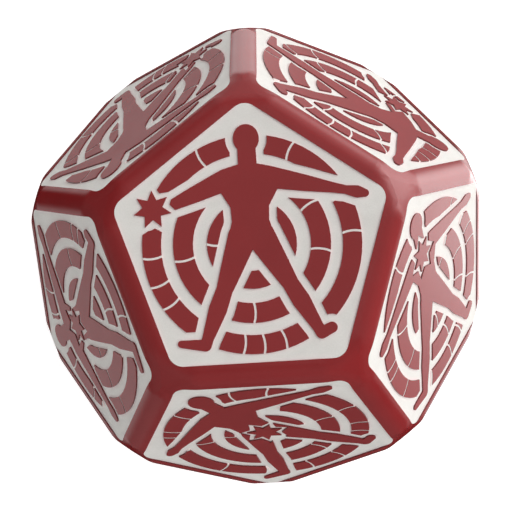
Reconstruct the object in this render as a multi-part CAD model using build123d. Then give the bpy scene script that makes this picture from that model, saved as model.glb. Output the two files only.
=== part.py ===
from build123d import *
import os
from math import atan, cos, degrees, radians, sin

# A twelve-sided hit-location die: one moulded body with a shallow engraving in each face, and an ink
# fill in each engraving, which stands higher in the hairlines than in the open areas. Every face shows
# the same standing figure over a round target, with a star on the part of the figure that is hit. The
# die rests on one face, +Z up, with the origin under its centre. All lengths are in millimetres and
# all angles in degrees.

# Body
ACROSS_FACES = 19.0
EDGE_RADIUS = 1.12
CORNER_REACH = 11.35
CORNER_BLEND = 1.6

# Engraving and ink
RECESS_APOTHEM = 5.15
RECESS_CORNER_RADIUS = 0.7
RECESS_DEPTH = 0.3
INK_DEPTH = 0.23
HAIRLINE_INK_DEPTH = 0.28

# Target bands, inner and outer radius, and the strip left free between them and the recess's edge
BANDS = ((1.17, 1.96), (2.57, 3.44), (3.96, 4.79))
BAND_MARGIN = 0.36
LINE_GAP = 0.34

# Hairline cuts: for each band, the angles where they cross it. Each cut bows a little to one side,
# and the pattern turns from face to face, so that the figure hides other cuts on each.
CUTS = (
    (100, 176, 300),
    (30, 70, 110, 189, 240, 268, 302, 351),
    (3, 24, 64, 86, 94, 117, 156, 184, 200, 213, 236, 262, 273, 285, 308),
)
CUT_WIDTH = 0.1
CUT_BOW = 0.1
CUT_TURN_PER_FACE = 47

# Islands smaller than this don't survive in the mould
SMALLEST_ISLAND = 0.1

# Star, and the star-shaped clearing round it, as tip radius and notch radius
STAR_POINTS = 7
STAR = (0.85, 0.45)
STAR_CLEARING = (1.22, 0.78)

# Figure: the head's x, y, half width and half height. The neck and trunk are circles as x, y and
# radius. An arm, leg or foot is circles as distance along the limb and radius.
HEAD = (0, 4.63, 0.57, 0.63)
NECK = ((0, 4.3, 0.4), (0, 3.4, 0.41))
COLLAR = (0, 3.1, 0.5)
SHOULDER = (1.0, 2.86, 0.48)
RIBS = (0.3, 1.8, 0.55)
WAIST = (0.24, 0.95, 0.57)
HIP = (0.38, 0.35, 0.6)
ARM = ((0, 0.48), (1.5, 0.36), (2.6, 0.24), (3.3, 0.19), (3.8, 0.27), (4.15, 0.17))
LEG = ((0, 0.64), (1.5, 0.48), (2.45, 0.36), (3.35, 0.4), (4.7, 0.25), (5.0, 0.26))
LEFT, RIGHT = -1, 1
ARM_DROP = {LEFT: 22, RIGHT: 13}
LEG_SPREAD = {LEFT: 22, RIGHT: 29}
FOOT = {LEFT: ((0, 0.26), (1.05, 0.16)), RIGHT: ((0, 0.26), (0.5, 0.24))}
FOOT_LIFT = {LEFT: 6, RIGHT: 25}

# Where the star sits on the figure, as (x, y). Left and right are the reader's.
HITS = {
    "left_hand": (-4.25, 1.75),
    "groin": (0.05, 0.15),
    "neck": (0.0, 2.85),
    "left_elbow": (-2.7, 2.75),
    "left_ankle": (-1.75, -3.85),
    "chest": (0.0, 1.8),
    "head": (0.0, 4.25),
    "right_hand": (4.25, 2.0),
    "right_elbow": (2.7, 2.75),
    "right_ankle": (2.1, -3.7),
    "left_knee": (-1.4, -2.1),
    "right_knee": (1.7, -2.0),
}

# Each face as (part hit, polar angle, azimuth, turn of the artwork in the face)
TILT = degrees(atan(2))
FIFTH = 72
FACES = [("left_hand", 0, -90, 0)]
FACES += [
    (hit, TILT, FIFTH * k - 90, turn)
    for k, (hit, turn) in enumerate(
        [("groin", 36), ("neck", -36), ("left_elbow", 108), ("left_ankle", -36), ("chest", 180)]
    )
]
FACES += [
    (hit, 180 - TILT, FIFTH * k + 90, turn)
    for k, (hit, turn) in enumerate(
        [("right_ankle", 0), ("head", 72), ("left_knee", -72), ("right_hand", 144), ("right_elbow", 0)]
    )
]
FACES += [("right_knee", 180, -90, 0)]

INRADIUS = ACROSS_FACES / 2
CENTRE = Vector(0, 0, INRADIUS)
OVERSHOOT = 0.1


def face_plane(polar, azimuth):
    """The plane of a face, with its normal outwards and its x axis level."""
    polar, azimuth = radians(polar), radians(azimuth)
    normal = Vector(sin(polar) * cos(azimuth), sin(polar) * sin(azimuth), cos(polar))
    across = Vector(-sin(azimuth), cos(azimuth), 0)
    return Plane(origin=CENTRE + normal * INRADIUS, x_dir=across, z_dir=normal)


def rounded_dodecahedron():
    """Twelve flat faces with rounded edges and the corners rounded back a little further."""
    body = Pos(CENTRE) * Sphere(2 * INRADIUS)
    for _, polar, azimuth, _ in FACES:
        body = split(body, bisect_by=face_plane(polar, azimuth), keep=Keep.BOTTOM)
    body = fillet(body.edges(), EDGE_RADIUS)
    body &= Pos(CENTRE) * Sphere(CORNER_REACH)
    corners = [f for f in body.faces() if f.geom_type == GeomType.SPHERE]
    rims = [edge for corner in corners for edge in corner.edges()]
    return fillet(rims, CORNER_BLEND)


def blob(circles, grow=0.0):
    """The convex hull of circles given as (x, y, radius), each grown by the same amount."""
    rims = [(Pos(x, y) * Circle(radius + grow)).edges() for x, y, radius in circles]
    return make_hull(ShapeList(edge for rim in rims for edge in rim))


def chain(circles, grow=0.0):
    """Circles joined one to the next by tapered bars."""
    return [blob(pair, grow) for pair in zip(circles, circles[1:])]


def along(start, heading, stations):
    """Circles at distances from a start point, on a straight line at a heading from +X."""
    x, y = start
    reach = Vector(cos(radians(heading)), sin(radians(heading)))
    return [(x + d * reach.X, y + d * reach.Y, radius) for d, radius in stations]


def both_sides(circles, grow):
    """The convex hull of circles and their mirror images."""
    return blob([(side * x, y, radius) for side in (LEFT, RIGHT) for x, y, radius in circles], grow)


def figure(grow=0.0):
    """The standing figure with spread arms and legs, every outline grown by the same amount."""
    x, y, half_width, half_height = HEAD
    trunk = (SHOULDER, RIBS, WAIST, HIP)
    shapes = [both_sides(pair, grow) for pair in zip(trunk, trunk[1:])]
    shapes += [blob((COLLAR, (side * SHOULDER[0], *SHOULDER[1:])), grow) for side in (LEFT, RIGHT)]
    shapes += chain(NECK, grow) + [Pos(x, y) * Ellipse(half_width + grow, half_height + grow)]
    for side in (LEFT, RIGHT):
        arm = along((side * SHOULDER[0], SHOULDER[1]), 90 - side * (90 + ARM_DROP[side]), ARM)
        leg = along((side * HIP[0], HIP[1]), -90 + side * LEG_SPREAD[side], LEG)
        foot = along(leg[-1][:2], 90 - side * (90 - FOOT_LIFT[side]), FOOT[side])
        shapes += chain(arm, grow) + chain(leg, grow) + chain(foot, grow)
    return sum(shapes[1:], shapes[0])


def star(radii):
    """A regular star with one point up, from its tip radius and its notch radius."""
    step = 180 / STAR_POINTS
    points = [Vector(0, radii[k % 2]).rotate(Axis.Z, step * k) for k in range(2 * STAR_POINTS)]
    return make_face(Polyline(*points, close=True))


def pentagon(apothem, corner_radius=0.0):
    """A pentagon with one corner up."""
    outline = RegularPolygon(apothem, 5, major_radius=False, rotation=90)
    return fillet(outline.vertices(), corner_radius) if corner_radius else outline


def bands():
    """The target's concentric bands, trimmed to run clear of the recess's edge."""
    rings = [Circle(outer) - Circle(inner) for inner, outer in BANDS]
    return sum(rings[1:], rings[0]) & pentagon(RECESS_APOTHEM - BAND_MARGIN)


def hairlines(turn):
    """The thin bowed cuts across the bands."""
    lines = []
    for (inner, outer), angles in zip(BANDS, CUTS):
        start = Vector(inner - CUT_WIDTH, 0)
        middle = Vector((inner + outer) / 2, CUT_BOW)
        end = Vector(outer + CUT_WIDTH, 0)
        cut = trace(ThreePointArc(start, middle, end), CUT_WIDTH)
        lines += [Rot(0, 0, angle + turn) * cut for angle in angles]
    return sum(lines[1:], lines[0])


def raised(target, person, hit, turn):
    """The islands that stay level with the face: the target, the figure over it and the star."""
    mark = Pos(*HITS[hit])
    marked = target - hairlines(turn) + person - mark * star(STAR_CLEARING) + mark * star(STAR)
    return Sketch() + [island for island in marked.faces() if island.area > SMALLEST_ISLAND]


def filled_lines(target, hit, turn):
    """The stretches of the hairlines that lie between two pieces of a band."""
    return target & hairlines(turn) - Pos(*HITS[hit]) * star(STAR_CLEARING)


def slab(outline, plane, bottom, top):
    """An outline made solid on a plane, between two heights over it."""
    return plane.location * (Pos(0, 0, bottom) * extrude(outline, top - bottom, dir=(0, 0, 1)))


def save(name, shape):
    """One sub-part, written to its own file."""
    export_step(shape, os.path.join("parts", name + ".step"))
    print(name, "solids", len(shape.solids()), "volume", round(shape.volume, 3))


target = bands() - figure(LINE_GAP)
person = figure()
recess = pentagon(RECESS_APOTHEM, RECESS_CORNER_RADIUS)
os.makedirs("parts", exist_ok=True)
engravings = []
for number, (hit, polar, azimuth, turn) in enumerate(FACES):
    hollow = Rot(0, 0, turn) * (recess - raised(target, person, hit, CUT_TURN_PER_FACE * number))
    plane = face_plane(polar, azimuth)
    engravings.append(slab(hollow, plane, -RECESS_DEPTH, OVERSHOOT))
    ink = slab(hollow, plane, -RECESS_DEPTH, INK_DEPTH - RECESS_DEPTH)
    lines = Rot(0, 0, turn) * filled_lines(target, hit, CUT_TURN_PER_FACE * number)
    ink += slab(lines, plane, INK_DEPTH / 2 - RECESS_DEPTH, HAIRLINE_INK_DEPTH - RECESS_DEPTH)
    save("ink_" + hit, ink)
save("die_body", rounded_dodecahedron() - engravings)
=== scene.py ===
import math

import bpy
from mathutils import Matrix, Vector


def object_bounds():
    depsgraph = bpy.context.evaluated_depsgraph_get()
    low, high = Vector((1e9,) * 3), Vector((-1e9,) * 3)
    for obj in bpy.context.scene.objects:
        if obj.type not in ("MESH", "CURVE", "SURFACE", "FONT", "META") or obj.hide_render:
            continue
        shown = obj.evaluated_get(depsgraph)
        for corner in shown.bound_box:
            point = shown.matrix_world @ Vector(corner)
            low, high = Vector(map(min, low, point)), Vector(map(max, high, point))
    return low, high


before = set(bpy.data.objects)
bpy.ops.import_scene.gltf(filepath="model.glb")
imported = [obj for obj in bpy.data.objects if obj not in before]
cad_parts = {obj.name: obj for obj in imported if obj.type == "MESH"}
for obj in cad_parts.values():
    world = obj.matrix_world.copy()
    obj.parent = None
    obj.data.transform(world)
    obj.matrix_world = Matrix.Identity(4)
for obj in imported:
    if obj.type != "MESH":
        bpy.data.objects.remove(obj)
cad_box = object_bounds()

MM = 0.001
scene = bpy.context.scene
scene.view_settings.view_transform = "Standard"

# Camera: its place from the middle of the die, the direction it looks back along, and its roll.
EYE = Vector((1.943, -5.041, 74.858)) * MM
BACK = Vector((0.02741, -0.06871, 0.99726)).normalized()
ROLL = math.radians(3.35)
LENS = 106.1

# Studio: soft lobes of light as (azimuth from +Y towards +X, elevation, radius, softness, strength),
# angles in degrees, in order round the compass. The first set lights the surfaces, and the second is
# what their gloss mirrors.
LAMPS = (
    (0, 90, 45, 25, 0.3),
    (60, 10, 40, 25, 0.5),
    (60, 60, 25, 15, 0.15),
    (75, 25, 25, 15, 0.3),
    (80, 45, 45, 20, 1.0),
    (110, 20, 35, 20, 0.05),
    (200, 50, 40, 30, 0.15),
)
MIRRORED = (
    (0, -35, 20, 5, 1.4),
    (0, 80, 30, 15, 0.15),
    (10, -30, 15, 5, 0.3),
    (20, 45, 45, 25, 0.45),
    (30, -40, 10, 5, 0.55),
    (40, -5, 15, 10, 0.75),
    (55, 5, 35, 15, 0.9),
    (60, -5, 20, 15, 2.2),
    (60, 15, 15, 10, 1.5),
    (70, 5, 10, 10, 0.65),
    (75, -45, 20, 5, 2.45),
    (75, -15, 15, 10, 0.75),
    (90, -65, 10, 5, 1.6),
    (90, -25, 10, 5, 1.0),
    (90, 10, 35, 15, 0.3),
    (100, -50, 15, 5, 0.4),
    (105, -35, 10, 5, 0.25),
    (180, 10, 60, 25, 0.2),
    (180, 25, 30, 15, 0.3),
    (220, -35, 15, 5, 0.15),
    (250, 25, 30, 15, 0.2),
    (255, -45, 10, 10, 0.65),
    (270, 30, 50, 25, 0.15),
    (325, -40, 10, 5, 0.75),
    (350, 0, 25, 10, 0.5),
)
BACKDROP = 1.0

# Floor: half its width, the light it gives off, and its own grey and roughness.
FLOOR_HALF_WIDTH = 2.0
FLOOR_GLOW = 0.74
FLOOR_GREY = 0.7
FLOOR_ROUGHNESS = 0.9

# Noise sits mostly between these two values, so every pattern is stretched from them.
NOISE_LOW, NOISE_HIGH = 0.3, 0.7
TONE_LOW, TONE_HIGH = 0.35, 0.65

# Red plastic: darker and lighter tone, a dark red painted on the steps' walls as painted shade, and a fine
# orange peel.
RED_DARK, RED_LIGHT = (0.266, 0.0105, 0.0122, 1), (0.294, 0.0135, 0.0152, 1)
# Painted shade: this dark red is laid on the walls of the steps, where occlusion finds them.
RED_PAINTED_SHADE = (0.11, 0.006, 0.009, 1)
PAINTED_SHADE_REACH, PAINTED_SHADE_START, PAINTED_SHADE_FULL = 0.2 * MM, 0.15, 0.45
RED_ROUGHNESS = (0.2, 0.26)
RED_IOR = 1.5
CLOUDS, SPECKLE, CLOUD_SHARE = 0.35, 9.0, 0.7
SMEARS, PEEL = 1.1, 5.0
PEEL_STRENGTH, PEEL_HEIGHT = 0.12, 0.01 * MM

# White ink: darker and lighter tone, a pale pink painted where it meets the red as painted bounce light
# that lifts its shade, and a chalky grain.
WHITE_DARK, WHITE_LIGHT = (0.79, 0.767, 0.725, 1), (0.875, 0.85, 0.808, 1)
# Painted bounce light: this pale pink brightens the ink where occlusion finds the red walls.
WHITE_PAINTED_BOUNCE = (1.0, 0.86, 0.84, 1)
PAINTED_BOUNCE_REACH, PAINTED_BOUNCE_START, PAINTED_BOUNCE_FULL = 0.3 * MM, 0.02, 0.3
WHITE_ROUGHNESS = (0.6, 0.75)
WHITE_IOR = 1.45
PATCHES, GRAIN, PATCH_SHARE = 0.8, 14.0, 0.6
GRAIN_STRENGTH, GRAIN_HEIGHT = 0.3, 0.02 * MM


class Nodes:
    """A node tree being wired up: make() adds a node and joins or sets its inputs."""

    def __init__(self, tree):
        self.tree = tree
        tree.nodes.clear()

    def make(self, kind, inputs=(), **settings):
        node = self.tree.nodes.new(kind)
        for name, value in settings.items():
            setattr(node, name, value)
        for name, value in dict(inputs).items():
            if isinstance(value, bpy.types.NodeSocket):
                self.tree.links.new(value, node.inputs[name])
            else:
                node.inputs[name].default_value = value
        return node

    def math(self, operation, a, b=0.0, clamp=False):
        """One sum; a and b are numbers or sockets."""
        return self.make("ShaderNodeMath", {0: a, 1: b}, operation=operation, use_clamp=clamp).outputs[0]

    def noise(self, where, scale, detail=2.0, roughness=0.5):
        """Cloudy noise from 0 to 1, with scale in cells for each millimetre."""
        inputs = {"Vector": where, "Scale": scale, "Detail": detail, "Roughness": roughness}
        return self.make("ShaderNodeTexNoise", inputs).outputs["Fac"]

    def remap(self, value, low, high, to_low, to_high, smooth=False):
        """A value carried from one range to another, and held at its ends."""
        kind = "SMOOTHSTEP" if smooth else "LINEAR"
        inputs = {"Value": value, "From Min": low, "From Max": high, "To Min": to_low, "To Max": to_high}
        return self.make("ShaderNodeMapRange", inputs, interpolation_type=kind).outputs["Result"]

    def blend(self, a, share, b):
        """Two patterns added, with the first one's share given."""
        return self.math("ADD", self.math("MULTIPLY", a, share), self.math("MULTIPLY", b, 1 - share))

    def mix(self, share, a, b):
        """Two colours mixed, with the second one's share given."""
        node = self.make("ShaderNodeMix", data_type="RGBA")
        for index, value in ((0, share), (6, a), (7, b)):
            if isinstance(value, bpy.types.NodeSocket):
                self.tree.links.new(value, node.inputs[index])
            else:
                node.inputs[index].default_value = value
        return node.outputs[2]

    def hollow(self, reach):
        """0 on open surfaces, rising to 1 at the foot of a step within reach; the ambient occlusion that
        places painted shade and painted bounce light.
        """
        open_sky = self.make("ShaderNodeAmbientOcclusion", {"Distance": reach}, samples=8).outputs["AO"]
        return self.math("SUBTRACT", 1.0, open_sky, clamp=True)

    def millimetres(self):
        """The place on the object, in millimetres."""
        place = self.make("ShaderNodeTexCoord").outputs["Object"]
        return self.make("ShaderNodeVectorMath", {0: place, "Scale": 1 / MM}, operation="SCALE").outputs[0]


def new_material(name):
    """An empty material and its nodes."""
    material = bpy.data.materials.new(name)
    material.use_nodes = True
    return material, Nodes(material.node_tree)


def direction(azimuth, elevation):
    """The unit vector towards a point of the studio."""
    a, e = math.radians(azimuth), math.radians(elevation)
    return Vector((math.sin(a) * math.cos(e), math.cos(a) * math.cos(e), math.sin(e)))


def put_camera():
    """The camera over the die, looking down at its top face."""
    low, high = cad_box
    data = bpy.data.cameras.new("camera")
    data.sensor_width = 36.0
    data.lens = LENS
    data.clip_start = 1 * MM
    data.clip_end = 10
    right = Vector((0, 1, 0)).cross(BACK).normalized()
    up = BACK.cross(right)
    turned_right = right * math.cos(ROLL) - up * math.sin(ROLL)
    turned_up = up * math.cos(ROLL) + right * math.sin(ROLL)
    camera = bpy.data.objects.new("camera", data)
    scene.collection.objects.link(camera)
    matrix = Matrix((turned_right, turned_up, BACK)).transposed().to_4x4()
    matrix.translation = (low + high) / 2 + EYE
    camera.matrix_world = matrix
    scene.camera = camera


def light_studio():
    """Soft light from all round, a different set of it for gloss, and a plain white backdrop."""
    world = bpy.data.worlds.new("studio")
    world.use_nodes = True
    world.cycles.sampling_method = "NONE"
    scene.world = world
    n = Nodes(world.node_tree)
    toward = n.make("ShaderNodeTexCoord").outputs["Generated"]

    def lobes(table):
        total = 0.0
        for azimuth, elevation, radius, softness, strength in table:
            ends = {0: toward, 1: direction(azimuth, elevation)}
            facing = n.make("ShaderNodeVectorMath", ends, operation="DOT_PRODUCT").outputs["Value"]
            outer = math.cos(math.radians(radius + softness))
            inner = math.cos(math.radians(radius - softness))
            total = n.math("ADD", n.remap(facing, outer, inner, 0.0, strength, smooth=True), total)
        return total

    ray = n.make("ShaderNodeLightPath").outputs
    lit, mirrored = lobes(LAMPS), lobes(MIRRORED)
    glossy = n.math("MULTIPLY", ray["Is Glossy Ray"], n.math("SUBTRACT", mirrored, lit))
    backdrop = n.math("MULTIPLY", ray["Is Camera Ray"], n.math("SUBTRACT", BACKDROP, lit))
    strength = n.math("ADD", lit, n.math("ADD", glossy, backdrop))
    background = n.make("ShaderNodeBackground", {"Color": (1, 1, 1, 1), "Strength": strength})
    n.make("ShaderNodeOutputWorld", {"Surface": background.outputs[0]})


def lay_floor():
    """The pale floor that the die rests on, which its gloss doesn't mirror."""
    w = FLOOR_HALF_WIDTH
    mesh = bpy.data.meshes.new("floor")
    mesh.from_pydata([(-w, -w, 0), (w, -w, 0), (w, w, 0), (-w, w, 0)], [], [(0, 1, 2, 3)])
    material, n = new_material("pale_floor")
    shader = n.make(
        "ShaderNodeBsdfPrincipled",
        {
            "Base Color": (FLOOR_GREY, FLOOR_GREY, FLOOR_GREY, 1),
            "Roughness": FLOOR_ROUGHNESS,
            "Specular IOR Level": 0.0,
            "Emission Color": (1, 1, 1, 1),
            "Emission Strength": FLOOR_GLOW,
        },
    )
    n.make("ShaderNodeOutputMaterial", {"Surface": shader.outputs[0]})
    mesh.materials.append(material)
    floor = bpy.data.objects.new("floor", mesh)
    floor.visible_glossy = False
    scene.collection.objects.link(floor)


def red_plastic():
    """Satin red plastic, faintly clouded, with painted shade darkening the walls of its steps."""
    material, n = new_material("red_plastic")
    place = n.millimetres()
    tone = n.blend(n.noise(place, CLOUDS, detail=3.0), CLOUD_SHARE, n.noise(place, SPECKLE))
    colour = n.mix(n.remap(tone, TONE_LOW, TONE_HIGH, 0.0, 1.0), RED_DARK, RED_LIGHT)
    # Painted shade: the red turns darker at the foot of each step, where ambient occlusion finds shade.
    painted_shade = n.remap(n.hollow(PAINTED_SHADE_REACH), PAINTED_SHADE_START, PAINTED_SHADE_FULL, 0.0, 1.0)
    colour = n.mix(painted_shade, colour, RED_PAINTED_SHADE)
    smears = n.noise(place, SMEARS, detail=4.0, roughness=0.6)
    roughness = n.remap(smears, NOISE_LOW, NOISE_HIGH, *RED_ROUGHNESS)
    peel = n.noise(place, PEEL, detail=3.0)
    relief = {"Strength": PEEL_STRENGTH, "Distance": PEEL_HEIGHT, "Height": peel}
    bump = n.make("ShaderNodeBump", relief).outputs[0]
    look = {"Base Color": colour, "Roughness": roughness, "IOR": RED_IOR, "Normal": bump}
    shader = n.make("ShaderNodeBsdfPrincipled", look)
    n.make("ShaderNodeOutputMaterial", {"Surface": shader.outputs[0]})
    return material


def white_ink():
    """Matt off-white ink, faintly patchy and chalky, with painted pink bounce light where it meets the
    red.
    """
    material, n = new_material("white_ink")
    place = n.millimetres()
    patches = n.noise(place, PATCHES, detail=4.0, roughness=0.6)
    grain = n.noise(place, GRAIN)
    tone = n.blend(patches, PATCH_SHARE, grain)
    colour = n.mix(n.remap(tone, TONE_LOW, TONE_HIGH, 0.0, 1.0), WHITE_DARK, WHITE_LIGHT)
    # Painted bounce light: the ink turns lighter and pinker next to the red walls, where ambient occlusion
    # finds shade.
    painted_bounce = n.remap(n.hollow(PAINTED_BOUNCE_REACH), PAINTED_BOUNCE_START, PAINTED_BOUNCE_FULL, 0.0, 1.0)
    colour = n.mix(painted_bounce, colour, WHITE_PAINTED_BOUNCE)
    roughness = n.remap(grain, NOISE_LOW, NOISE_HIGH, *WHITE_ROUGHNESS)
    relief = {"Strength": GRAIN_STRENGTH, "Distance": GRAIN_HEIGHT, "Height": grain}
    bump = n.make("ShaderNodeBump", relief).outputs[0]
    look = {"Base Color": colour, "Roughness": roughness, "IOR": WHITE_IOR, "Normal": bump}
    shader = n.make("ShaderNodeBsdfPrincipled", look)
    n.make("ShaderNodeOutputMaterial", {"Surface": shader.outputs[0]})
    return material


put_camera()
light_studio()
lay_floor()
red, white = red_plastic(), white_ink()
for name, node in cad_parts.items():
    node.data.materials.clear()
    node.data.materials.append(white if name.startswith("ink_") else red)
